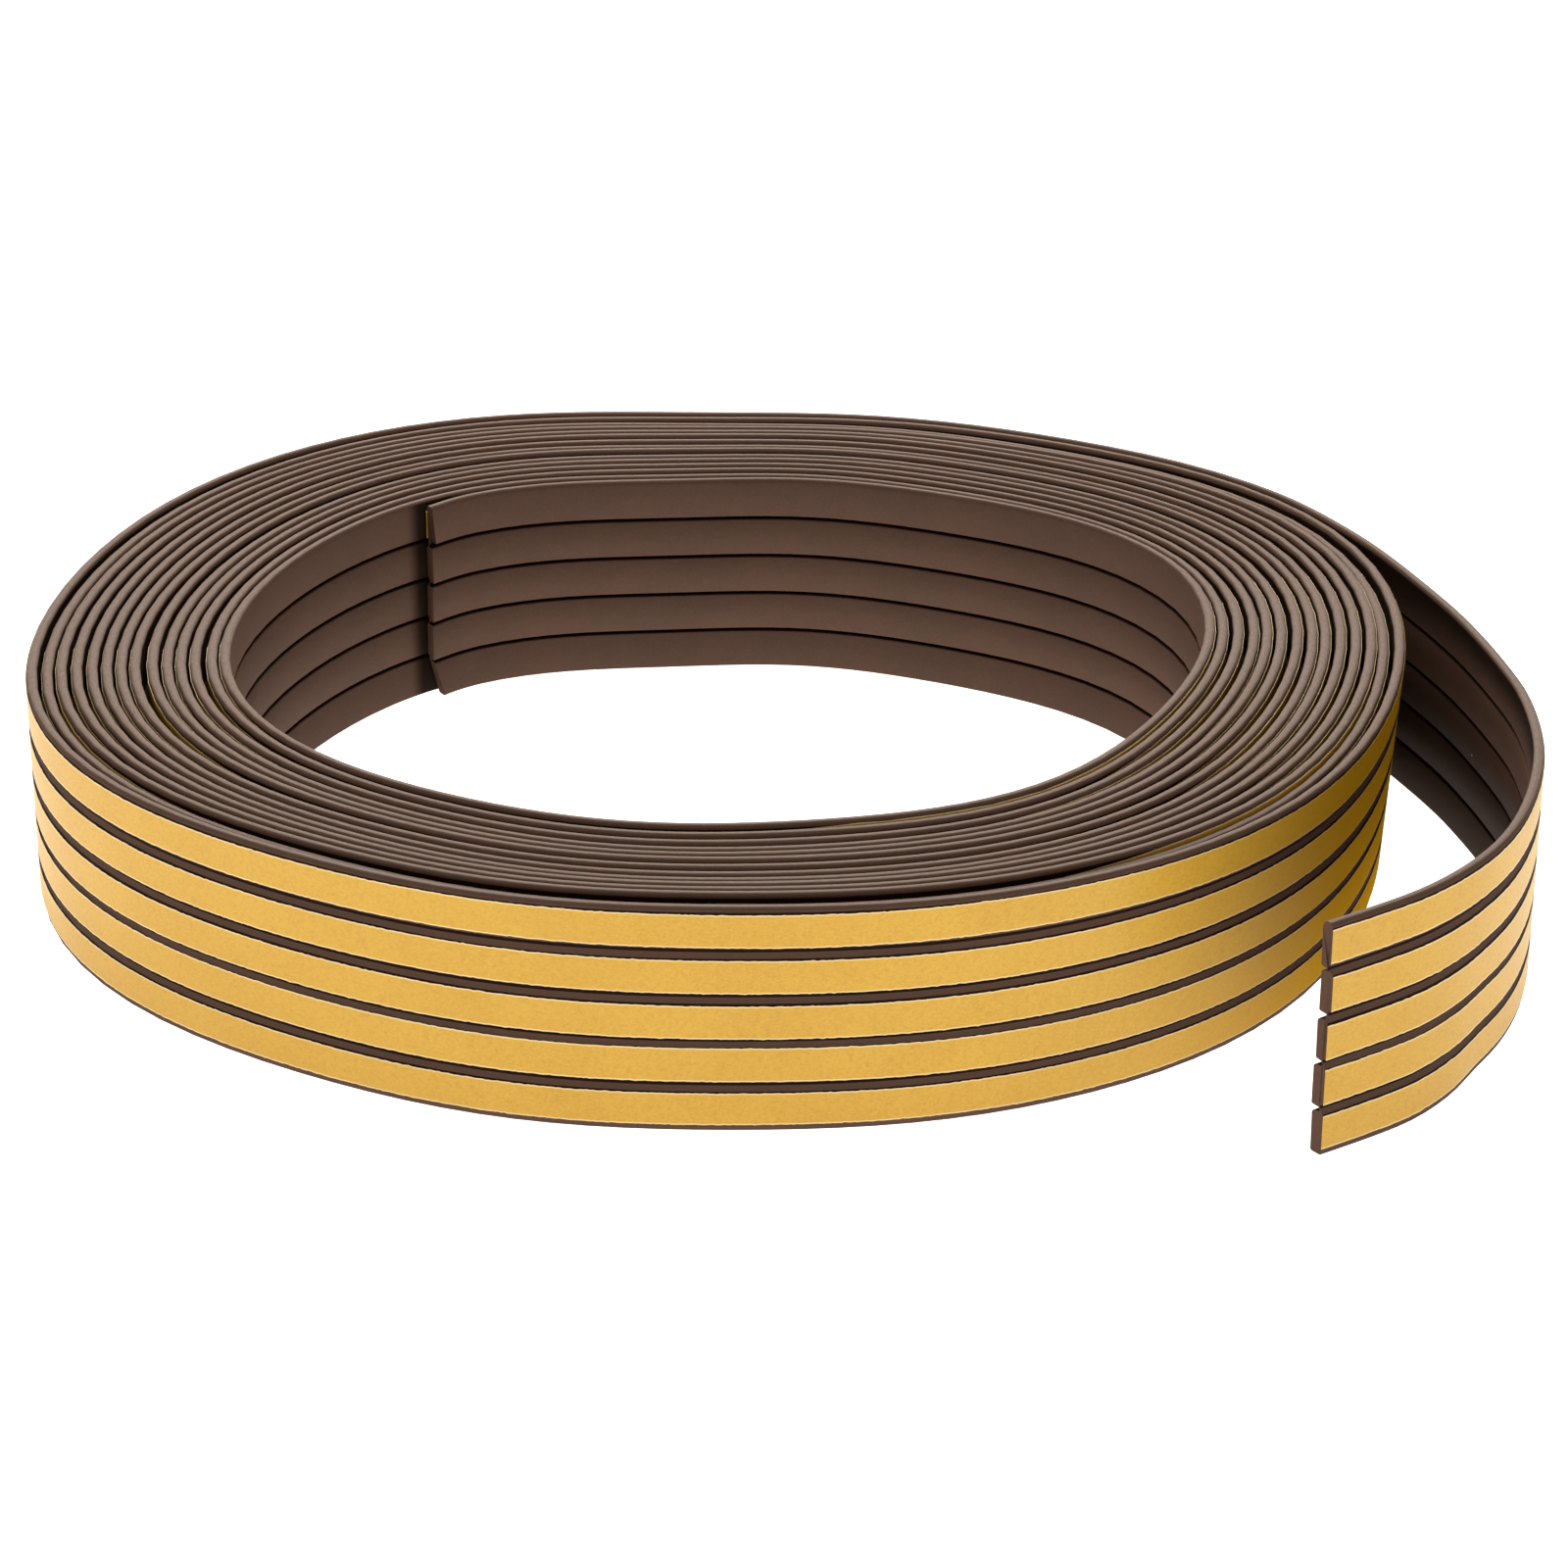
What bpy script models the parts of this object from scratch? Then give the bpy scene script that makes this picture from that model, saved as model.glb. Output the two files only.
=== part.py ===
"""A coil of foam seal tape that lies flat: five I-profile strips joined side by side, wound a little over fourteen
turns round an open oval bore, with a loose tail, and a paper release liner on each strip's bare adhesive face.
Metres, +Z up, resting on z = 0, centred on its footprint.

The coil is one solid. A single plan curve, the spiral, is the inner face of every turn and the outer face of the
turn inside it, so neighbouring turns share their edges and show on both ends as flat lands with grooves between.
"""
import bmesh
import bpy
import numpy as np

# The tape's section
STRIP_COUNT = 5
STRIP_WIDTH = 0.009
TAPE_THICKNESS = 0.002
SLIT_WIDTH = 0.0009           # the slit between two strips, at the inner face
SLIT_DEPTH = 0.0013
GROOVE_WIDTH = 0.0018         # the shallow groove between two strips, on the adhesive face
GROOVE_FLOOR = 0.0009         # the width of its flat floor
GROOVE_DEPTH = 0.0003
EDGE_INSET = 0.0005           # how far the tape's rounded edge runs in from its face
EDGE_DROP = 0.0008            # and how far down its side

# The release liners on the adhesive face
LINER_WIDTH = 0.007
LINER_THICKNESS = 0.0001
LINER_CLEARANCE = 0.0003      # from the foam
LINER_SHORT = 0.001           # how far a liner stops before the cut end
LINER_BARE = 20.0             # degrees past the tail's root where the gap is too narrow for a liner

# The winding, clockwise from its inner end; angles run anticlockwise from +X
TURNS = 14
START_ANGLE = 140.0           # the tape's inner end
LAST_SWEEP = 110.0            # how far past its last whole turn the tape leaves the coil
# The bore's reach from its centre at equal angles, and the air in each turn there
BORE_REACH = (0.0895, 0.0905, 0.0780, 0.0690, 0.0645, 0.0665, 0.0745, 0.0810,
              0.0870, 0.0870, 0.0785, 0.0715, 0.0685, 0.0700, 0.0765, 0.0820)
TURN_SLACK = (0.00070, 0.00070, 0.00045, 0.00015, 0.00000, 0.00020, 0.00040, 0.00060,
              0.00060, 0.00060, 0.00030, 0.00010, 0.00000, 0.00015, 0.00035, 0.00070)

# The tail, with its gap from the coil at equal angles from its root to its cut end
TAIL_SWEEP = 73.0
TAIL_GAPS = (0.0, 0.0005, 0.0043, 0.0123, 0.0215, 0.0291, 0.0332, 0.0329, 0.0300)

STEPS_PER_TURN = 36
TAIL_STEPS = 20
WELD = 1e-6

HEIGHT = STRIP_COUNT * STRIP_WIDTH
FOAM_BROWN = (0.105, 0.068, 0.052)
LINER_GOLD = (0.78, 0.46, 0.09)


def smooth_round(values, angles):
    """The closed curve with the fewest waves through values at equal angles, read at angles in radians."""
    count = len(values)
    phase = angles[:, None] - 2 * np.pi * np.arange(count) / count
    waves = 1 + 2 * sum(np.cos(k * phase) for k in range(1, (count + 1) // 2))
    if count % 2 == 0:
        waves = waves + np.cos(count / 2 * phase)
    return waves @ np.array(values) / count


def smooth_along(values, shares):
    """A smooth curve through equally spaced values, read at shares from 0 to 1 of its length."""
    values = np.array(values)
    slope = np.gradient(values)
    place = shares * (len(values) - 1)
    cell = np.minimum(place.astype(int), len(values) - 2)
    t = place - cell
    return ((2 * t**3 - 3 * t**2 + 1) * values[cell] + (t**3 - 2 * t**2 + t) * slope[cell]
            + (3 * t**2 - 2 * t**3) * values[cell + 1] + (t**3 - t**2) * slope[cell + 1])


def spiral_reach(sweep):
    """The spiral's distance from the bore's centre, at a sweep in degrees from the inner end."""
    angles = np.radians(START_ANGLE - sweep)
    pitch = TAPE_THICKNESS + smooth_round(TURN_SLACK, angles)
    return smooth_round(BORE_REACH, angles) + pitch * sweep / 360


def directions(sweep):
    """Unit vectors straight out from the bore's centre."""
    angles = np.radians(START_ANGLE - sweep)
    return np.stack([np.cos(angles), np.sin(angles)], axis=1)


def path_normals(path):
    """Unit normals on the left of a plan path, which is the outer side of a clockwise one."""
    along = np.gradient(path, axis=0)
    left = np.stack([-along[:, 1], along[:, 0]], axis=1)
    return left / np.linalg.norm(left, axis=1)[:, None]


def joined(first, second):
    """Two paths as one, where the second starts at the point on which the first ends."""
    return np.concatenate([first, second[1:]])


def at_height(path, height):
    return np.column_stack([path, np.full(len(path), height)])


class Winding:
    """The tape's plan: the spiral, and both faces of the tail, as points with the directions that lie across them."""

    def __init__(self):
        self.turn = STEPS_PER_TURN
        self.last = TURNS * self.turn + round(LAST_SWEEP * self.turn / 360)
        sweep = np.arange(self.last + self.turn + 1) * 360 / self.turn
        self.across = directions(sweep)
        self.spiral = self.across * spiral_reach(sweep)[:, None]
        share = np.arange(TAIL_STEPS + 1) / TAIL_STEPS
        tail_sweep = sweep[self.last] + share * TAIL_SWEEP
        tail_reach = spiral_reach(tail_sweep) + smooth_along(TAIL_GAPS, share)
        self.tail_inner = directions(tail_sweep) * tail_reach[:, None]
        self.tail_across = path_normals(self.tail_inner)
        self.tail_outer = self.tail_inner + self.tail_across * TAPE_THICKNESS
        self.tail_outer[0] = self.spiral[-1]


def wall_profile():
    """Heights of a wall's corners from the top down, with the depth of the slits and of the grooves at each."""
    heights, slits, grooves = [HEIGHT - EDGE_DROP], [0.0], [0.0]
    for line in range(STRIP_COUNT - 1, 0, -1):
        outer, inner = GROOVE_WIDTH / 2, min(SLIT_WIDTH, GROOVE_FLOOR) / 2
        heights += [line * STRIP_WIDTH + step for step in (outer, inner, 0, -inner, -outer)]
        slits += [0.0, 0.0, SLIT_DEPTH, 0.0, 0.0]
        grooves += [0.0, GROOVE_DEPTH, GROOVE_DEPTH, GROOVE_DEPTH, 0.0]
    return heights + [EDGE_DROP], slits + [0.0], grooves + [0.0]


class Skin:
    """A closed mesh put together from grids of quads and flat caps, whose shared edges are welded at the end."""

    def __init__(self):
        self.points, self.faces = [], []

    def grid(self, rows):
        """A surface through rows of points that all have the same length. Returns the rows."""
        first, width = len(self.points), len(rows[0])
        self.points += [tuple(point) for row in rows for point in row]
        for row in range(len(rows) - 1):
            start = first + row * width
            self.faces += [(i, i + 1, i + 1 + width, i + width) for i in range(start, start + width - 1)]
        return rows

    def wall(self, path, outward, cuts, fade_first, fade_last):
        """A wall along a plan path, cut to a depth at each height. The cuts fade out at a faded end."""
        heights, depths = cuts
        scale = np.ones(len(path))
        scale[0], scale[-1] = 1 - fade_first, 1 - fade_last
        return self.grid([at_height(path - outward * (depth * scale)[:, None], height)
                          for height, depth in zip(heights, depths)])

    def cap(self, outline):
        first = len(self.points)
        self.points += [tuple(point) for point in outline]
        self.faces.append(tuple(range(first, len(self.points))))

    def mesh(self, name):
        made = bpy.data.meshes.new(name)
        made.from_pydata(self.points, [], self.faces)
        editing = bmesh.new()
        editing.from_mesh(made)
        bmesh.ops.remove_doubles(editing, verts=editing.verts, dist=WELD)
        bmesh.ops.recalc_face_normals(editing, faces=editing.faces)
        editing.to_mesh(made)
        editing.free()
        return made


def tape_skin(plan):
    """The foam tape: both ends, the bore's wall, the outside, the tail's inner side, and the tape's two cut ends."""
    skin = Skin()
    spiral, across, turn, last = plan.spiral, plan.across, plan.turn, plan.last
    inner_edge = joined(spiral[:last + 1], plan.tail_inner)
    outer_edge = joined(spiral[turn:], plan.tail_outer)
    tape_across = joined(across[:last + 1], plan.tail_across)
    land_inner = inner_edge + tape_across * EDGE_INSET
    land_outer = inner_edge + tape_across * (TAPE_THICKNESS - EDGE_INSET)
    lands = []
    for edge_height, land_height in ((HEIGHT - EDGE_DROP, HEIGHT), (EDGE_DROP, 0.0)):
        lands.append([at_height(land_inner, land_height), at_height(land_outer, land_height)])
        skin.grid([at_height(inner_edge, edge_height), *lands[-1], at_height(outer_edge, edge_height)])

    heights, slits, grooves = wall_profile()
    outside_across = joined(across[last:], plan.tail_across)
    bore = skin.wall(spiral[:turn + 1], -across[:turn + 1], (heights, slits), False, True)
    outside = skin.wall(joined(spiral[last:], plan.tail_outer), outside_across, (heights, grooves), True, False)
    inside = skin.wall(plan.tail_inner, -plan.tail_across, (heights, slits), True, False)

    top, bottom = lands
    for near, far, end in ((bore, bore, 0), (inside, outside, -1)):
        near_column = [row[end] for row in near]
        far_column = [row[-1] for row in far]
        skin.cap(near_column + [bottom[0][end], bottom[1][end]] + far_column[::-1] + [top[1][end], top[0][end]])
    return skin


def liner_path(plan):
    """A release liner's inner face in plan: once round the coil's bare outside, then along the tail."""
    bare = max(1, round(LINER_BARE * plan.turn / 360))
    path = joined(plan.spiral[plan.last + bare:], plan.tail_outer)
    back = path[-2] - path[-1]
    path[-1] += back / np.linalg.norm(back) * LINER_SHORT
    return path + path_normals(path) * LINER_CLEARANCE


def liner_skin(path, strip):
    """A release liner as an open ribbon on its strip's middle, facing out."""
    low = strip * STRIP_WIDTH + (STRIP_WIDTH - LINER_WIDTH) / 2
    skin = Skin()
    skin.grid([at_height(path, low + LINER_WIDTH), at_height(path, low)])
    return skin


def material(name, colour, roughness):
    made = bpy.data.materials.new(name)
    made.use_nodes = True
    shader = made.node_tree.nodes["Principled BSDF"]
    shader.inputs["Base Color"].default_value = (*colour, 1)
    shader.inputs["Roughness"].default_value = roughness
    shader.inputs["Metallic"].default_value = 0.0
    return made


def add_object(mesh, look, centre, collection):
    """An object of the mesh's name, whose footprint's centre is moved to the origin."""
    mesh.materials.append(look)
    mesh.shade_smooth()
    mesh.set_sharp_from_angle(angle=np.radians(30))
    made = bpy.data.objects.new(mesh.name, mesh)
    made.location = (-centre[0], -centre[1], 0)
    collection.objects.link(made)
    return made


def main():
    for old in list(bpy.data.objects):
        bpy.data.objects.remove(old)
    collection = bpy.data.collections.new("epdm_foam_seal_tape")
    bpy.context.scene.collection.children.link(collection)

    plan = Winding()
    tape = tape_skin(plan)
    liner = liner_path(plan)
    footprint = np.vstack([np.array(tape.points)[:, :2], liner + path_normals(liner) * LINER_THICKNESS])
    centre = (footprint.min(axis=0) + footprint.max(axis=0)) / 2

    add_object(tape.mesh("foam_tape"), material("foam", FOAM_BROWN, 0.85), centre, collection)
    gold = material("release_paper", LINER_GOLD, 0.45)
    for strip in range(STRIP_COUNT):
        made = add_object(liner_skin(liner, strip).mesh(f"liner_{strip + 1}"), gold, centre, collection)
        wall = made.modifiers.new("Paper", "SOLIDIFY")
        wall.thickness = LINER_THICKNESS
        wall.offset = 1.0
        wall.use_even_offset = True


main()
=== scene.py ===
"""The looks of a coil of brown foam seal tape: the tape wound loosely, its release liners, and their finishes.

Metres, +Z up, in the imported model's frame. The tape is five strips joined side by side, so it is a wall 45 mm high.
"""

import bpy
import numpy as np
from mathutils import Matrix, Vector


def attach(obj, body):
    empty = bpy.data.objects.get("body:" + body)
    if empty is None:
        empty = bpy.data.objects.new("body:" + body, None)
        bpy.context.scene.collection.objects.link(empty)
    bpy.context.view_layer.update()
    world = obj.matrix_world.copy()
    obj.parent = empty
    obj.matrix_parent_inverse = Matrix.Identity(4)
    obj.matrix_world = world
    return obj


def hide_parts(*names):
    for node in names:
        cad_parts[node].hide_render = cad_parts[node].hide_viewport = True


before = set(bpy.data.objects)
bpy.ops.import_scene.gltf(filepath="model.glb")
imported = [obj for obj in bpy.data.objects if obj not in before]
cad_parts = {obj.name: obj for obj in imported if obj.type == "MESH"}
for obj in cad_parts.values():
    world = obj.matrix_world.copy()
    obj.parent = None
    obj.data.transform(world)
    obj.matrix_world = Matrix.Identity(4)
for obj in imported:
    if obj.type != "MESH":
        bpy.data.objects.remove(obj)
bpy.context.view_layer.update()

# The tape's section
STRIP_COUNT = 5
STRIP_WIDTH = 0.009
HEIGHT = STRIP_COUNT * STRIP_WIDTH
THICKNESS = 0.002
CROWN_RISE = 0.0010            # height of the rounded top edge
CROWN_POINTS = 9
CROWN_POWERS = (0.9, 0.8)      # how square it is across and up: 1 is round, and less is squarer
UNDER_CROWN = 0.9              # how dark the painted shadow line is that the top edge leaves above the upper liner
FOOT_RISE = 0.0005             # and the same for the bottom edge, which is squarer
FOOT_POINTS = 6
FOOT_POWERS = (0.4, 0.6)
# A groove's and a slit's corners: steps up or down from their line in mm, depths, how much painted shade each gets in
# the recess, and how far each moves where a slit opens
GROOVE = ((1.15, 0, 0, 0), (1.05, 0.0004, 0.9, 0), (0.35, 0.0005, 0.9, 0), (0.10, 0.0004, 0, 0),
          (-0.78, 0.0001, 0, 0), (-0.95, 0, 0.9, 0))
SLIT = ((-0.56, 0, 0, -1), (-0.40, 0.00014, 0.3, -0.8), (-0.33, 0.0013, 1, -0.15),
        (0.33, 0.0013, 1, 0.15), (0.40, 0.00014, 0.3, 0.8), (0.56, 0, 0, 1))
SLIT_OPEN = 0.0004             # how far the widest slit's edges have moved apart at the cut end
SLIT_GAPES = (0.0, 0.9, 0.5, 1.0, 0.35)      # each slit's share of that, from the floor up
SLIT_OPEN_LENGTH = 0.012

# The winding, clockwise from its inner end; sweeps are in degrees from there. The reaches, slacks and gaps are at equal
# angles round the bore's centre and along the tail
TURN = 360
BORE_CENTRE = (-0.011954, 0.001259)
START_ANGLE = 140.0
LAST_SWEEP = 14 * TURN + 110.0
TAIL_SWEEP = 73.0
BORE_REACH = (0.0895, 0.0905, 0.0780, 0.0690, 0.0645, 0.0665, 0.0745, 0.0810,
              0.0870, 0.0870, 0.0785, 0.0715, 0.0685, 0.0700, 0.0765, 0.0820)
TURN_SLACK = (0.00070, 0.00070, 0.00045, 0.00015, 0.00000, 0.00020, 0.00040, 0.00060,
              0.00060, 0.00060, 0.00030, 0.00010, 0.00000, 0.00015, 0.00035, 0.00070)
TAIL_GAPS = (0.0, 0.0005, 0.0043, 0.0123, 0.0215, 0.0291, 0.0332, 0.0329, 0.0300)
COIL_STEP = 3.6
TAIL_STEP = 1.2
LINER_STEP = 0.3               # where a liner shows
END_FACE_STEP = 0.02           # the last step before an end face, so that the face keeps its own marks

# How far each half turn's upper edge stands above the tape's own height, in mm, at the rear and front by turns
HALF_TURN_LIFTS = (-1.3, -0.4, -1.4, -1.0, -1.1, -1.3, -1.0, -1.5, -0.9, -1.2, -1.1, -0.9, -0.6, -1.1, -1.0,
                   -1.3, -0.7, -1.2, -0.4, -0.7, -0.6, -0.4, -0.7, 0.0, -1.1, -1.3, -0.6, -0.1, -0.4, -0.2, -0.1)
LIFTS_START = 50.0
# How far each half turn lies outside its even place, in mm, at the right and at the left by turns
HALF_TURN_SHIFTS = (0.0, 0.0, -0.25, -0.3, -0.1, 0.1, 0.15, 0.0, -0.1, -0.25, -0.2, -0.3, 0.1, 0.3, 0.2, 0.1, -0.1,
                    0.0, 0.0, -0.1, 0.1, 0.0, 0.2, 0.1, -0.2, 0.0, 0.1, 0.0, 0.0)
SHIFTS_START = 140.0
SHIFTS_END = LAST_SWEEP - 300
SHIFTS_FADE = 200.0
WALL_LEAN = 0.0014             # how far the top of the inner turns leans in at the rear
WALL_LEAN_TURNS = 12
FOOT_LEAN = 0.0010             # how far the foot of the last turn stands out at the left
FOOT_LEAN_SWEEP = LAST_SWEEP - 158
FOOT_LEAN_WIDTH = 18.0
# The tail's lean, and how far its middle lies inside an even curve, in mm at equal steps from root to cut end
TAIL_LEANS = (0, 0.05, 0.15, 0.3, 0.6, 1.0, 1.4, 1.8, 2.1, 2.4, 2.6, 2.7, 2.7, 2.7, 2.6, 2.2, 1.9, 3.0, 3.7, 3.7, 3.5)
TAIL_DENTS = (0, 0, 0, 0, 0, 0, 0, 0, 0, 0, -0.2, 0.1, 0.6, 1.1, 1.4, 1.5, 1.4, 0.7, 0.35, 0.4, 0.2)

# How far each strip's end stands forward of an even cut, in mm from the bottom strip up: at the inner end, and at the
# cut end on the adhesive face and further on the inner face
START_SLIDES = (-0.3, -1.7, -1.5, -1.3, -0.8)
START_SLANTS = (2.2, 0.0, 0.0, 0.2, 0.8)      # and how much further each strip's foot stands than its top there
END_SLIDES = (0.4, 0.5, 0.55, -0.05, 0.6)
END_BEVELS = (0.4, 0.5, 0.1, 0.5, 0.0)
END_BULGE = 0.6                # how far each strip's middle stands forward at the cut end, in mm
END_REACH = 0.008              # how far from an end these shapes fade out
INNER_END_OFF = 0.0008         # how far the inner end stands off the next turn
INNER_END_SWEEP = 9.0

# Each liner's lower and upper edge above its strip's foot, in mm from the bottom strip up
LINER_EDGES = ((1.3, 7.85), (1.2, 8.1), (1.0, 7.65), (1.2, 7.8), (1.45, 7.95))
LINER_STARTS = (1.6, 0.7, 0.7, 0.7, -0.45)   # where each begins past its strip's inner end, in mm
LINER_ENDS = 0.05              # and how far each reaches past its strip's cut end
LINER_THICKNESS = 0.00007
LINER_OFF = 0.00001            # its gap to the foam
LINER_ROOM = 0.0001            # what it takes up between two turns
LINER_SUNK = 0.0007            # how far the liners' upper edges lie below view inside the coil
LINER_STANDS = 0.0003          # and how far the top one stands up where it shows between loose turns
# Where else the liners show as slivers between turns: the middle and half the length of each, as sweeps
SLIVERS = ((185, 45), (885, 45), (1010, 40), (1260, 30), (1730, 35), (2450, 30), (3050, 25), (4130, 25))
FRAY = 0.00004                 # roughness of a liner's edges, and how far they wander along the length
WANDER = 0.00008
WANDER_POINTS = 200

# Shading that the photo's light from behind leaves on the foam
SHOULDER = 0.36                # the part of a turn's rounded edge that lies against its neighbours is dark
CREST_TURN = 0.38              # where an edge turns to the front by this much it is as brown as the skin
CREST_LOSS = 0.95
START_FACE_SHADE = 0.35
SHARP_ANGLE = 50               # edges sharper than this keep a crease

MM = 0.001


def smooth_round(values, angles):
    """The closed curve with the fewest waves through values at equal angles: a sum of cosines of the angle to each."""
    count = len(values)
    phase = angles[:, None] - 2 * np.pi * np.arange(count) / count
    waves = 1 + 2 * sum(np.cos(k * phase) for k in range(1, (count + 1) // 2))
    if count % 2 == 0:
        waves = waves + np.cos(count / 2 * phase)
    return waves @ np.array(values) / count


def smooth_along(values, place):
    """A smooth curve through values at places 0, 1, 2 and so on: cubic pieces whose slopes agree at each value."""
    values = np.array(values, dtype=float)
    slope = np.gradient(values)
    place = np.clip(place, 0, len(values) - 1)
    cell = np.minimum(place.astype(int), len(values) - 2)
    t = place - cell
    return ((2 * t**3 - 3 * t**2 + 1) * values[cell] + (t**3 - 2 * t**2 + t) * slope[cell]
            + (3 * t**2 - 2 * t**3) * values[cell + 1] + (t**3 - t**2) * slope[cell + 1])


def even_reach(sweep):
    """The evenly wound spiral's distance from the bore's centre: the bore's outline plus a pitch for each turn."""
    angles = np.radians(START_ANGLE - sweep)
    return smooth_round(BORE_REACH, angles) + (THICKNESS + smooth_round(TURN_SLACK, angles)) * sweep / TURN


def loose_reach(sweep):
    """The tape's inner face: the even spiral, moved out by a growing share of the slack and by the uneven shifts, with
    the tail's gap to the coil added and its inner end set in."""
    angles = np.radians(START_ANGLE - sweep)
    slack = smooth_round(TURN_SLACK, angles)
    wound = np.minimum(sweep, LAST_SWEEP)
    shift = smooth_along(HALF_TURN_SHIFTS, (wound - SHIFTS_START) / (TURN / 2)) * MM
    shift = shift * np.clip(slack / max(TURN_SLACK), 0, 1) * np.clip((SHIFTS_END - wound) / SHIFTS_FADE, 0, 1)
    along_tail = np.clip((sweep - LAST_SWEEP) / TAIL_SWEEP, 0, 1)
    tail = (smooth_along(TAIL_GAPS, along_tail * (len(TAIL_GAPS) - 1))
            - smooth_along(TAIL_DENTS, along_tail * (len(TAIL_DENTS) - 1)) * MM)
    inner_end = INNER_END_OFF * np.clip(1 - sweep / INNER_END_SWEEP, 0, 1) ** 2
    return even_reach(sweep) + slack * wound / LAST_SWEEP + shift + tail * (sweep > LAST_SWEEP) - inner_end


class Lay:
    """The tape's lie at each sweep: plan point of its inner face, outward normal, distance along, thickness of the
    foam, lift of its upper edge, and lean of its top towards the coil's inside about a pivot's share of its height."""

    def __init__(self, sweep):
        self.sweep = sweep
        angles = np.radians(START_ANGLE - sweep)
        rays = np.column_stack([np.cos(angles), np.sin(angles)])
        reach = loose_reach(sweep)
        self.inner = rays * reach[:, None] + BORE_CENTRE
        step = 0.05
        ahead, behind = [np.radians(START_ANGLE - (sweep + side)) for side in (step, -step)]
        forward = (np.column_stack([np.cos(ahead), np.sin(ahead)]) * loose_reach(sweep + step)[:, None]
                   - np.column_stack([np.cos(behind), np.sin(behind)]) * loose_reach(sweep - step)[:, None])
        self.along = forward / np.linalg.norm(forward, axis=1)[:, None]
        self.normal = np.column_stack([-self.along[:, 1], self.along[:, 0]])
        gaps = np.linalg.norm(np.diff(self.inner, axis=0), axis=1)
        self.distance = np.concatenate([[0], np.cumsum(gaps)])
        room = (loose_reach(sweep + TURN) - reach) * np.sum(self.normal * rays, axis=1) - LINER_ROOM
        self.thickness = np.where(sweep + TURN <= LAST_SWEEP, np.minimum(THICKNESS, room), THICKNESS)
        self.lift = smooth_along(HALF_TURN_LIFTS, (sweep - LIFTS_START) / (TURN / 2)) * MM
        inner_turns = np.clip(1 - sweep / (WALL_LEAN_TURNS * TURN), 0, 1)
        rear = np.clip(np.sin(angles + 0.15), 0, 1) ** 2
        tail = smooth_along(TAIL_LEANS, (sweep - LAST_SWEEP) / TAIL_SWEEP * (len(TAIL_LEANS) - 1)) * MM
        foot = FOOT_LEAN * np.exp(-((sweep - FOOT_LEAN_SWEEP) / FOOT_LEAN_WIDTH) ** 2)
        self.lean = WALL_LEAN * inner_turns * rear + foot + tail * (sweep > LAST_SWEEP)
        self.pivot = np.where(sweep > LAST_SWEEP, 0.5, np.where(sweep > LAST_SWEEP - TURN, 1.0, 0.0))

    def place(self, out, height, slide=0.0):
        """Points at distances out from the inner face and heights up the wall, one row for each sweep. The lean moves
        a point in by its height's share above the pivot; the lift stretches the wall upwards."""
        out = out - self.lean[:, None] * (height / HEIGHT - self.pivot[:, None])
        plan = (self.inner[:, None, :] + self.normal[:, None, :] * out[:, :, None]
                + self.along[:, None, :] * np.broadcast_to(slide, out.shape)[:, :, None])
        top = height * (1 + self.lift[:, None] / HEIGHT)
        return np.concatenate([plan, top[:, :, None]], axis=2)


def rounded(turn, powers):
    """A point on a rounded edge: the cosine and the sine of its turn, each raised to its power and keeping its side."""
    return np.sign(np.cos(turn)) * abs(np.cos(turn)) ** powers[0], abs(np.sin(turn)) ** powers[1]


def tape_section():
    """The foam's section as a closed line from the inner face's top over the rounded top edge, down the adhesive face
    with its grooves, round the rounded foot, and up the inner face with its slits. For each point: the share of the
    thickness it lies at, a depth added to that, its height, how far it moves where a slit opens, how much of a rounded
    edge it is, and how much painted shade it gets for lying in a recess."""
    rows = []
    for turn in np.linspace(0, np.pi, CROWN_POINTS):
        across, up = rounded(turn, CROWN_POWERS)
        recess_shade = UNDER_CROWN * (turn == np.pi)
        rows.append(((1 - across) / 2, 0, HEIGHT - CROWN_RISE * (1 - up), 0, np.sin(turn), recess_shade))
    for line in range(STRIP_COUNT - 1, 0, -1):
        for step, depth, recess_shade, opens in GROOVE:
            rows.append((1, -depth, line * STRIP_WIDTH + step * MM, opens, 0, recess_shade))
    for turn in np.linspace(np.pi, 2 * np.pi, FOOT_POINTS):
        across, down = rounded(turn, FOOT_POWERS)
        rows.append(((1 - across) / 2, 0, FOOT_RISE * (1 - down), 0, down, 0))
    for line in range(1, STRIP_COUNT):
        for step, depth, recess_shade, opens in SLIT:
            rows.append((0, depth, line * STRIP_WIDTH + step * MM, opens, 0, recess_shade))
    return np.array(rows).T


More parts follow.
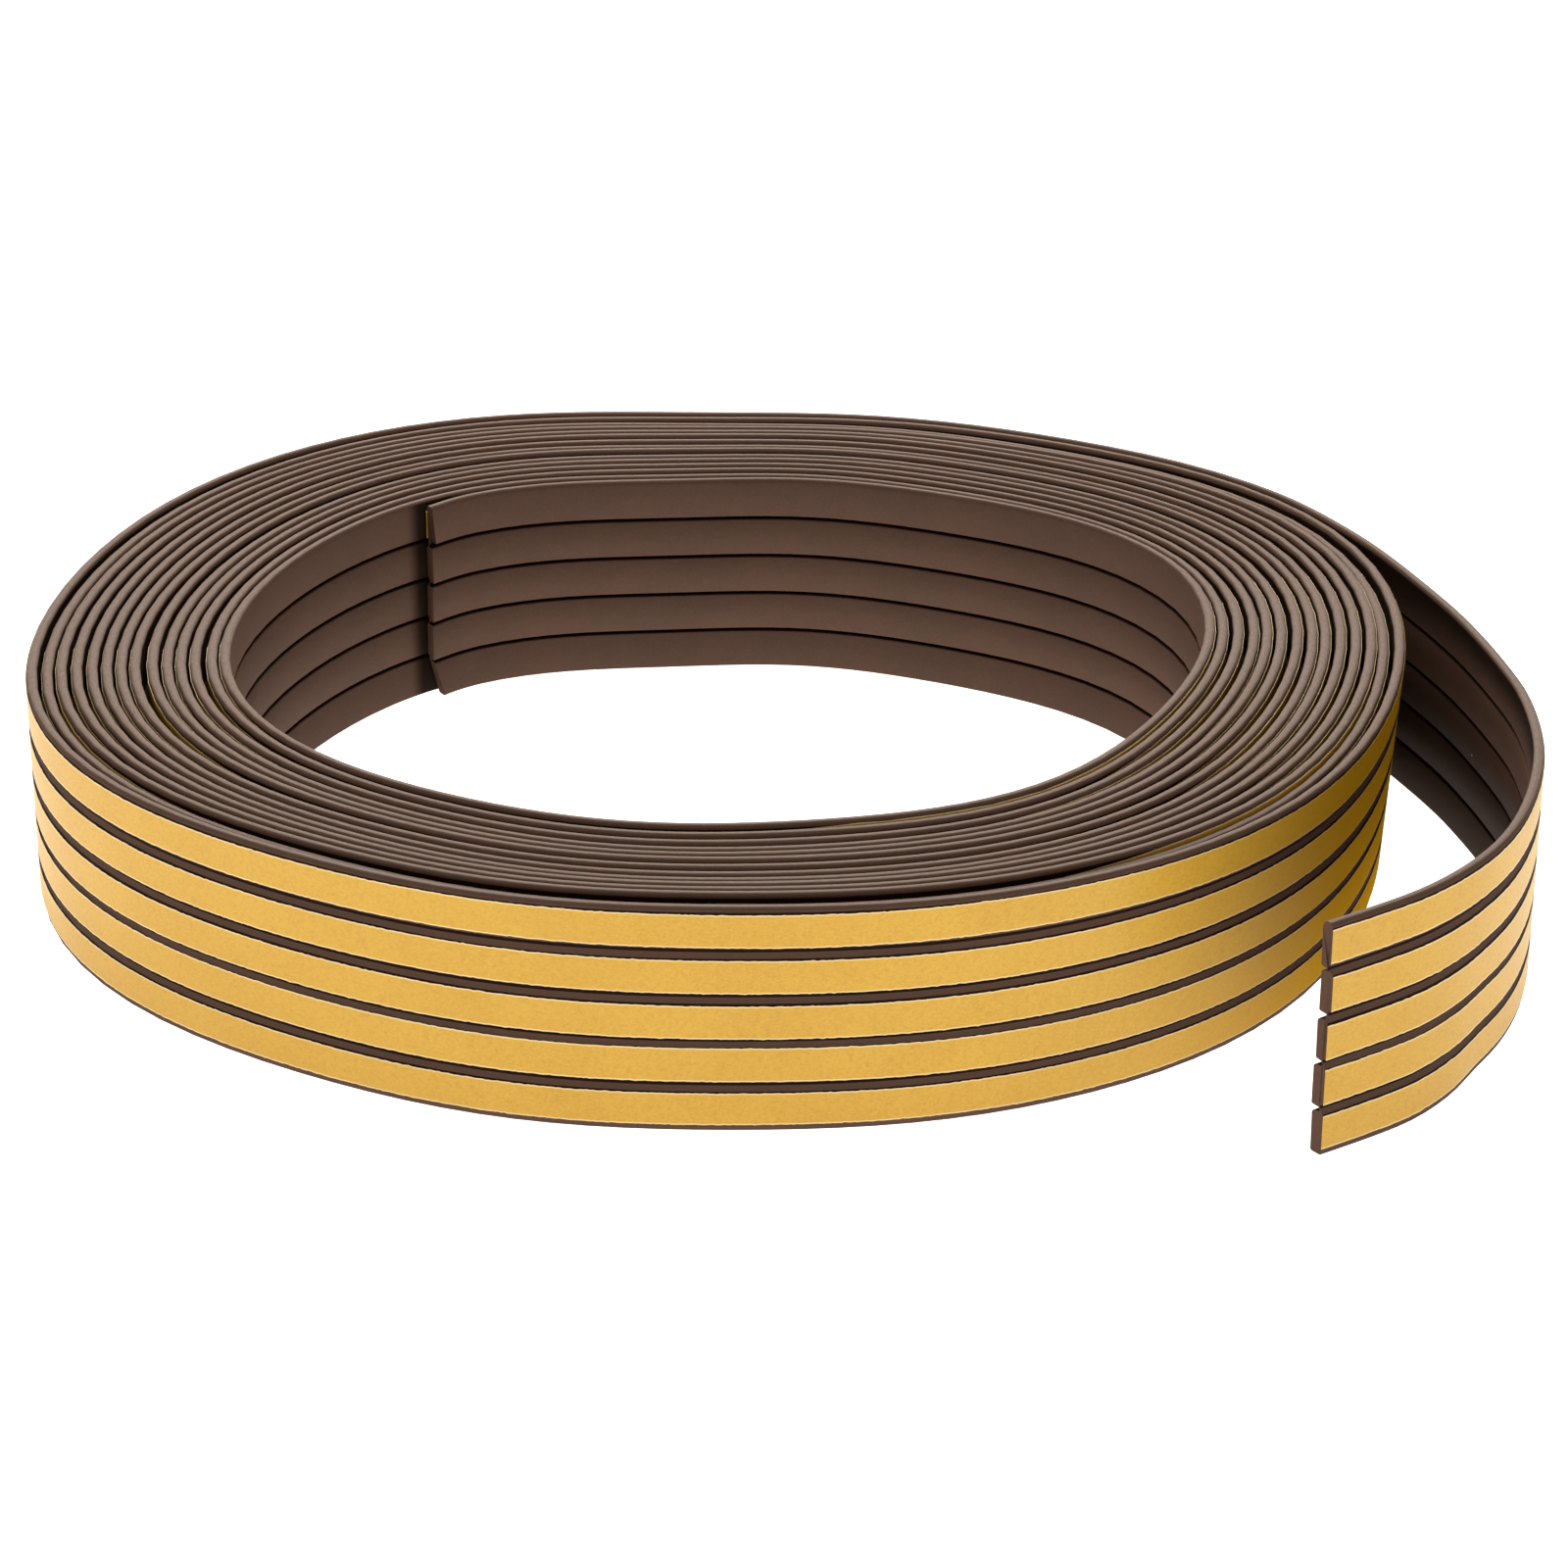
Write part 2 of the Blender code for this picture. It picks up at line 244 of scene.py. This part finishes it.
def closed_tube(name, grid, uv, marks):
    """A mesh from a grid of points, one row for each step along a path: quads between rows, closed round each row,
    and a face over each end. uv gives each point's length and girth; marks are values kept at the points."""
    steps, girth = grid.shape[:2]
    row = np.arange(steps - 1)[:, None] * girth
    here, beside = np.arange(girth)[None, :], (np.arange(girth)[None, :] + 1) % girth
    quads = np.stack([row + here, row + here + girth, row + beside + girth, row + beside], axis=2).reshape(-1, 4)
    first = np.arange(girth)
    last = (steps - 1) * girth + first[::-1]
    mesh = bpy.data.meshes.new(name)
    mesh.from_pydata(grid.reshape(-1, 3), [], quads.tolist() + [first.tolist(), last.tolist()])
    length, around = uv
    corner_length = np.stack([length[:-1], length[1:], length[1:], length[:-1]], axis=1)[:, None, :]
    ends = np.append(around, around[-1] + np.linalg.norm(grid[0, 0] - grid[0, -1]))
    corner_girth = np.stack([ends[:-1], ends[:-1], ends[1:], ends[1:]], axis=1)[None, :, :]
    shape = (steps - 1, girth, 4)
    flat = np.stack([np.broadcast_to(corner_length, shape), np.broadcast_to(corner_girth, shape)], axis=3)
    cut = [np.column_stack([length[0] - grid[0][:, 2], around]),
           np.column_stack([length[-1] + grid[-1][::-1, 2], around[::-1]])]
    layer = mesh.uv_layers.new(name="lay")
    layer.data.foreach_set("uv", np.concatenate([flat.reshape(-1, 2), *cut]).astype(np.float32).ravel())
    for mark, values in marks.items():
        kept = mesh.attributes.new(mark, "FLOAT", "POINT")
        kept.data.foreach_set("value", np.broadcast_to(values, (steps, girth)).astype(np.float32).ravel())
    mesh.validate()
    mesh.shade_smooth()
    mesh.set_sharp_from_angle(angle=np.radians(SHARP_ANGLE))
    made = bpy.data.objects.new(name, mesh)
    bpy.context.scene.collection.objects.link(made)
    return made


def coil_sweeps(fine_from=LAST_SWEEP, fine_step=TAIL_STEP):
    """Sweeps from the inner end to the cut end: even steps round the coil, shorter ones on both sides of the inner end
    and on the turn beside it, and shorter ones from a sweep on."""
    end = LAST_SWEEP + TAIL_SWEEP
    near_end = [np.arange(0, 7, 1.0), np.arange(TURN - 6, TURN + 1, 0.7)]
    coarse = np.arange(COIL_STEP * 2, fine_from, COIL_STEP)
    coarse = coarse[(coarse < TURN - 7) | (coarse > TURN + 1)]
    count = int(round((end - fine_from) / fine_step))
    fine = np.linspace(fine_from, end, count + 1)
    return np.sort(np.concatenate([[-END_FACE_STEP], *near_end, coarse, fine, [end + END_FACE_STEP]]))


def shade_marks(lay, share, crown, height):
    """Where little light gets in: the shoulders of turns that lie against others, the lower part of the tail's inner
    face towards its root, and the turn beside the inner end."""
    sweep = lay.sweep[:, None]
    shoulder = np.clip(1 - crown / SHOULDER, 0, 1) * (height > HEIGHT - CROWN_RISE - 0.1 * MM)
    faces_in = share < 0.5
    covered_inside = np.clip((sweep - TURN + 2) / 3, 0, 1)
    covered_outside = np.clip((LAST_SWEEP - TURN + 1 - sweep) / 8, 0, 1)
    inner_wall = faces_in & (crown < 0.5)
    into_tail = (sweep - LAST_SWEEP) / TAIL_SWEEP
    low = np.clip(1.9 - 2.2 * height / HEIGHT, 0, 1)
    root = np.clip(1 - 0.75 * into_tail, 0, 1) ** 0.7 * (into_tail > -0.15) * low * inner_wall
    beside_end = np.clip((sweep - TURN + 3.5) / 2.5, 0, 1) * (sweep < TURN + 5) * inner_wall
    return np.maximum(np.maximum(shoulder * np.where(faces_in, covered_inside, covered_outside), root), beside_end)


def foam_tape():
    """The foam: the section carried along its lie. The slits open towards the cut end, and both ends are uneven. Its
    marks say where it has a crest, paler by its cut edge and by a painted sheen, painted shade in a recess, or shade;
    the end faces have no crest or recess shade."""
    lay = Lay(coil_sweeps())
    share, depth, height, opens, crown, recess_shade = tape_section()
    left = lay.distance[-1] - lay.distance
    opened = np.clip(1 - left / SLIT_OPEN_LENGTH, 0, 1)[:, None] ** 2
    lines = np.rint(height / STRIP_WIDTH).astype(int) % STRIP_COUNT
    heights = height + opens * np.array(SLIT_GAPES)[lines] * SLIT_OPEN * opened
    out = share * lay.thickness[:, None] + depth
    strips = np.clip((heights // STRIP_WIDTH).astype(int), 0, STRIP_COUNT - 1)
    strip_share = heights / STRIP_WIDTH - strips
    start_slides = np.array(START_SLIDES)[strips] + np.array(START_SLANTS)[strips] * (0.5 - strip_share)
    bulge = np.sqrt(np.clip(np.sin(strip_share * np.pi), 0, 1)) * END_BULGE
    inner_part = 1 - out / THICKNESS
    end_slides = np.array(END_SLIDES)[strips] + np.array(END_BEVELS)[strips] * inner_part + bulge * (0.3 + inner_part)
    slide = (start_slides * np.clip(1 - lay.distance / END_REACH, 0, 1)[:, None]
             + end_slides * np.clip(1 - left / END_REACH, 0, 1)[:, None]) * MM
    grid = lay.place(out, heights, slide)
    middle = grid[len(grid) // 2]
    around = np.concatenate([[0], np.cumsum(np.linalg.norm(np.diff(middle, axis=0), axis=1))])
    skin = ((lay.sweep >= 0) & (lay.sweep <= LAST_SWEEP + TAIL_SWEEP))[:, None]
    to_front = (1 - 2 * share) * lay.normal[:, 1:2]
    # pale crest: the paler cut edge plus a painted sheen, brown again as painted shade where the edge turns to the
    # front
    pale = crown * (1 - np.clip(to_front / CREST_TURN, 0, 1) * CREST_LOSS)
    start_face = START_FACE_SHADE * (lay.sweep < 0)[:, None]
    marks = {"crown": pale * skin, "recess_shade": recess_shade * skin,
             "shade": np.maximum(shade_marks(lay, share, crown, height) * skin, start_face)}
    return closed_tube("foam_seal_tape", grid, (lay.distance, around), marks)


def release_liner(strip):
    """One strip's liner: a flat strip of paper on the foam's adhesive face. Its edges are frayed by random noise at
    each step and by smoothed noise along the length. Inside the coil they are sunk, apart from where they show."""
    lay = Lay(coil_sweeps(LAST_SWEEP - TURN - 20, LINER_STEP))
    rng = np.random.default_rng(40 + strip)
    steps = len(lay.sweep)
    low, high = (strip * STRIP_WIDTH + edge * MM for edge in LINER_EDGES[strip])
    frays = rng.normal(0, FRAY, (2, steps))
    along = lay.distance / lay.distance[-1]
    wander = smooth_along(rng.normal(0, WANDER, WANDER_POINTS), along * (WANDER_POINTS - 1))
    shown = np.clip((lay.sweep - LAST_SWEEP + TURN + 25) / 10, 0, 1)
    slack = smooth_round(TURN_SLACK, np.radians(START_ANGLE - lay.sweep)) / max(TURN_SLACK)
    peeping = np.clip(slack * 2 - 1, 0, 1)
    for middle, half in SLIVERS:
        peeping = np.maximum(peeping, np.clip(2 - 2 * abs(lay.sweep - middle) / half, 0, 1))
    peeping = peeping * (1 - shown)
    stands = LINER_STANDS * peeping * (strip == STRIP_COUNT - 1)
    top = high + frays[0] + wander - LINER_SUNK * (1 - np.maximum(shown, peeping)) + stands
    bottom = low + frays[1] + wander
    heights = np.column_stack([top, top, bottom, bottom])
    face = lay.thickness + LINER_OFF
    out = np.column_stack([face, face + LINER_THICKNESS, face + LINER_THICKNESS, face])
    left = lay.distance[-1] - lay.distance
    start = START_SLIDES[strip] + LINER_STARTS[strip]
    slide = (start * np.clip(1 - lay.distance / END_REACH, 0, 1)
             + (END_SLIDES[strip] + LINER_ENDS) * np.clip(1 - left / END_REACH, 0, 1))[:, None] * MM
    grid = lay.place(out, heights, slide)
    width = high - low
    around = np.array([0, LINER_THICKNESS, LINER_THICKNESS + width, 2 * LINER_THICKNESS + width])
    past_root = (lay.sweep - LAST_SWEEP + TURN)[:, None]
    beside_tail = np.clip((past_root + 5) / 15, 0, 1) * np.clip((80 - past_root) / 30, 0, 1)
    marks = {"across": np.array([1, 1, -1, -1]), "shade": beside_tail}
    return closed_tube(f"release_liner_{strip + 1}", grid, (lay.distance, around), marks)


class Value:
    """A number that varies over a surface. Arithmetic on it adds the Math nodes that work it out."""

    def __init__(self, finish, socket):
        self.finish, self.socket = finish, socket

    def math(self, operation, *inputs):
        made = self.finish.node("ShaderNodeMath", {"operation": operation}, dict(enumerate(inputs)))
        return Value(self.finish, made.outputs[0])

    def __add__(self, other):
        return self.math("ADD", self, other)

    def __sub__(self, other):
        return self.math("SUBTRACT", self, other)

    def __rsub__(self, other):
        return self.math("SUBTRACT", other, self)

    def __mul__(self, other):
        return self.math("MULTIPLY", self, other)

    __radd__, __rmul__ = __add__, __mul__

    def rise(self, low, high):
        """0 below low, 1 above high, and a smooth rise between."""
        made = self.finish.node("ShaderNodeMapRange", {"interpolation_type": "SMOOTHSTEP"},
                                {"Value": self, "From Min": low, "From Max": high})
        return Value(self.finish, made.outputs["Result"])


class Finish:
    """One material's nodes round its Principled shader."""

    def __init__(self, name, **constants):
        self.material = bpy.data.materials.new(name)
        self.material.use_nodes = True
        self.nodes, self.links = self.material.node_tree.nodes, self.material.node_tree.links
        self.shader = self.nodes["Principled BSDF"]
        for socket, value in constants.items():
            self.feed(self.shader.inputs[socket.replace("_", " ")], value)

    def feed(self, socket, value):
        if isinstance(value, Value):
            self.links.new(value.socket, socket)
        elif hasattr(value, "is_linked"):
            self.links.new(value, socket)
        else:
            socket.default_value = value

    def node(self, kind, settings=None, inputs=None):
        """A node of a kind with its settings made first, then its inputs fed with values or links."""
        made = self.nodes.new(kind)
        for setting, value in (settings or {}).items():
            setattr(made, setting, value)
        for name, value in (inputs or {}).items():
            self.feed(made.inputs[name], value)
        return made

    def lay(self, length_scale, girth_scale, turn=0.0):
        """The piece's own length and girth, scaled, as a vector."""
        uv = self.node("ShaderNodeUVMap", {"uv_map": "lay"}).outputs[0]
        return self.node("ShaderNodeMapping", {}, {"Vector": uv, "Rotation": (0, 0, turn),
                                                   "Scale": (length_scale, girth_scale, 1)}).outputs[0]

    def place(self):
        """The piece's own coordinates."""
        return self.node("ShaderNodeTexCoord").outputs["Object"]

    def mark(self, name):
        return Value(self, self.node("ShaderNodeAttribute", {"attribute_name": name}).outputs["Fac"])

    def noise(self, vector, scale, detail, roughness):
        made = self.node("ShaderNodeTexNoise", {}, {"Vector": vector, "Scale": scale, "Detail": detail,
                                                    "Roughness": roughness})
        return Value(self, made.outputs[0])

    def specks(self, vector, scale, size, kept):
        """Sparse round specks: a share of a cell pattern's cells carry one at their middle."""
        cells = self.node("ShaderNodeTexVoronoi", {}, {"Vector": vector, "Scale": scale})
        chance = Value(self, self.node("ShaderNodeSeparateColor", {}, {0: cells.outputs["Color"]}).outputs[0])
        spot = 1 - Value(self, cells.outputs["Distance"]).rise(size * 0.6, size)
        return spot * chance.math("GREATER_THAN", chance, 1 - kept)

    def mix(self, share, first, second):
        made = self.node("ShaderNodeMix", {"data_type": "RGBA"})
        for index, value in ((0, share), (6, first), (7, second)):
            if isinstance(value, tuple):
                value = (*value, 1)
            self.feed(made.inputs[index], value)
        return made.outputs[2]

    def bump(self, height, distance, strength, normal=None):
        inputs = {"Height": height, "Distance": distance, "Strength": strength}
        if normal is not None:
            inputs["Normal"] = normal
        return self.node("ShaderNodeBump", {}, inputs).outputs["Normal"]


def foam_finish():
    """Fine-celled brown foam: a dull skin with soft mottling, paler cut edges with slanting scratches and a painted
    sheen, painted shade in the slits and grooves, and a few specks of dust."""
    foam = Finish("brown_foam", Roughness=0.62, Specular_IOR_Level=0.03)
    crown, recess_shade, shade = foam.mark("crown"), foam.mark("recess_shade"), foam.mark("shade")
    place = foam.place()
    lay = foam.lay(1, 1)
    mottle = foam.noise(place, 38, 3, 0.55)
    blotch = foam.noise(place, 160, 3, 0.6)
    grain = foam.noise(place, 2600, 3, 0.65)
    scratches = foam.noise(foam.lay(700, 4200, 0.7), 1.0, 3, 0.6)
    skin = foam.mix(mottle.rise(0.3, 0.7), (0.110, 0.060, 0.040), (0.098, 0.057, 0.039))
    skin = foam.mix(blotch.rise(0.35, 0.75) * 0.35, skin, (0.124, 0.069, 0.047))
    skin = foam.mix(grain.rise(0.35, 0.75) * 0.22, skin, (0.150, 0.092, 0.068))
    # the crest's colour: the cut edge's own paler tone with scratches, made paler still as a painted sheen
    edge = foam.mix(scratches.rise(0.3, 0.75), (0.216, 0.153, 0.118), (0.285, 0.213, 0.171))
    colour = foam.mix(crown.rise(0.10, 0.60) * 0.95, skin, edge)
    colour = foam.mix(shade.rise(0.0, 1.0) * 0.94, colour, (0.012, 0.007, 0.004))
    # painted shade: near-black in the slits, in the grooves' upper parts and under the top edge, where shade falls
    colour = foam.mix(recess_shade.rise(0.15, 0.6) * 0.98, colour, (0.016, 0.005, 0.002))
    dust = foam.specks(lay, 120, 0.024, 0.20)
    colour = foam.mix(dust * 0.9, colour, (0.55, 0.50, 0.45))
    foam.feed(foam.shader.inputs["Base Color"], colour)
    foam.feed(foam.shader.inputs["Roughness"], 0.58 + grain * 0.16 - crown.rise(0.3, 1.0) * 0.04)
    fine = foam.bump(grain, 0.00010, 0.5)
    foam.feed(foam.shader.inputs["Normal"], foam.bump(scratches * crown.rise(0.2, 0.8), 0.00008, 0.5, fine))
    return foam.material


def liner_finish():
    """Yellow release paper with a soft sheen: faint clouds and fibres, and pale cut edges."""
    paper = Finish("yellow_release_paper", Specular_IOR_Level=0.0, Coat_Roughness=0.38)
    place = paper.place()
    clouds = paper.noise(place, 55, 3, 0.6)
    fibres = paper.noise(paper.lay(900, 3200, 0.5), 1.0, 3, 0.65)
    grain = paper.noise(place, 2200, 2, 0.6)
    flecks = paper.noise(place, 900, 3, 0.7)
    colour = paper.mix(clouds.rise(0.3, 0.7), (0.620, 0.335, 0.026), (0.670, 0.375, 0.034))
    colour = paper.mix(fibres.rise(0.35, 0.70) * 0.55, colour, (0.750, 0.440, 0.052))
    colour = paper.mix(grain.rise(0.42, 0.70) * 0.45, colour, (0.550, 0.270, 0.016))
    colour = paper.mix(flecks.rise(0.50, 0.72) * 0.40, colour, (0.530, 0.265, 0.014))
    across, shade = paper.mark("across"), paper.mark("shade")
    rim = across.math("ABSOLUTE", across).rise(0.90, 0.945)
    colour = paper.mix(rim * 0.55, colour, (1.0, 0.830, 0.480))
    colour = paper.mix(shade.rise(0.0, 1.0) * 0.75, colour, (0.430, 0.210, 0.004))
    paper.feed(paper.shader.inputs["Base Color"], colour)
    paper.feed(paper.shader.inputs["Roughness"], 0.36 + fibres * 0.12 + shade * 0.2)
    paper.feed(paper.shader.inputs["Coat Weight"], (1 - shade.rise(0.0, 1.0)) * 0.65)
    paper.feed(paper.shader.inputs["Normal"], paper.bump(fibres * 0.5 + grain * 0.5, 0.00004, 0.35))
    return paper.material


def dress(piece, material, nodes):
    piece.data.materials.append(material)
    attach(piece, "root")
    for node in nodes:
        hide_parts(node)


def pale_floor():
    """A level square that also glows, so that it stays as pale as the photo's ground."""
    half = 10.0
    mesh = bpy.data.meshes.new("floor")
    mesh.from_pydata([(-half, -half, 0), (half, -half, 0), (half, half, 0), (-half, half, 0)], [], [(0, 1, 2, 3)])
    made = bpy.data.objects.new("floor", mesh)
    bpy.context.scene.collection.objects.link(made)
    finish = Finish("pale_floor", Base_Color=(0.60, 0.60, 0.60, 1), Roughness=0.9, Emission_Color=(1, 1, 1, 1),
                    Emission_Strength=1.48)
    mesh.materials.append(finish.material)


def soft_light(name, where, aim, size, power):
    """A square area light that faces a point."""
    data = bpy.data.lights.new(name, "AREA")
    data.size, data.energy = size, power
    made = bpy.data.objects.new(name, data)
    made.location = where
    towards = np.array(aim) - np.array(where)
    made.rotation_euler = Vector(towards).to_track_quat("-Z", "Y").to_euler()
    bpy.context.scene.collection.objects.link(made)


def studio():
    """A dim white world, a low key light and a high one behind the coil, and two weak fills."""
    world = bpy.data.worlds.new("studio")
    bpy.context.scene.world = world
    world.use_nodes = True
    world.node_tree.nodes["Background"].inputs["Color"].default_value = (1, 1, 1, 1)
    world.node_tree.nodes["Background"].inputs["Strength"].default_value = 0.20
    soft_light("key", (-0.05, 1.00, 0.73), (0, 0, 0), 0.50, 13)
    soft_light("overhead", (-0.05, 0.45, 1.05), (0, 0, 0), 0.50, 7)
    soft_light("front_fill", (0.2, -1.3, 0.5), (0, 0, 0), 0.8, 2)
    soft_light("left_fill", (-0.85, 0.12, 0.50), (0, 0, 0), 0.4, 1.0)


def camera():
    """The camera, from its elevation and roll, with its place found by fitting the coil's outline."""
    sensor, focal_pixels, image_pixels = 36.0, 3633, 1600
    elevation, roll = np.radians(30.95), np.radians(1.53)
    forward = np.array([0, np.cos(elevation), -np.sin(elevation)])
    right = np.array([1.0, 0, 0])
    up = np.cross(right, forward)
    turned_right = np.cos(roll) * right + np.sin(roll) * up
    turned_up = -np.sin(roll) * right + np.cos(roll) * up
    data = bpy.data.cameras.new("camera")
    data.sensor_width, data.lens = sensor, sensor * focal_pixels / image_pixels
    data.clip_start, data.clip_end = 0.01, 20
    made = bpy.data.objects.new("camera", data)
    axes = np.eye(4)
    axes[:3, 0], axes[:3, 1], axes[:3, 2] = turned_right, turned_up, -forward
    axes[:3, 3] = (0.00093, -0.58448, 0.36172)
    made.matrix_world = Matrix(axes.tolist())
    bpy.context.scene.collection.objects.link(made)
    bpy.context.scene.camera = made


def main():
    camera()
    foam, paper = foam_finish(), liner_finish()
    dress(foam_tape(), foam, ["foam_tape"])
    for strip in range(STRIP_COUNT):
        dress(release_liner(strip), paper, [f"liner_{strip + 1}"])
    pale_floor()
    studio()
    bpy.context.scene.view_settings.view_transform = "Standard"


main()
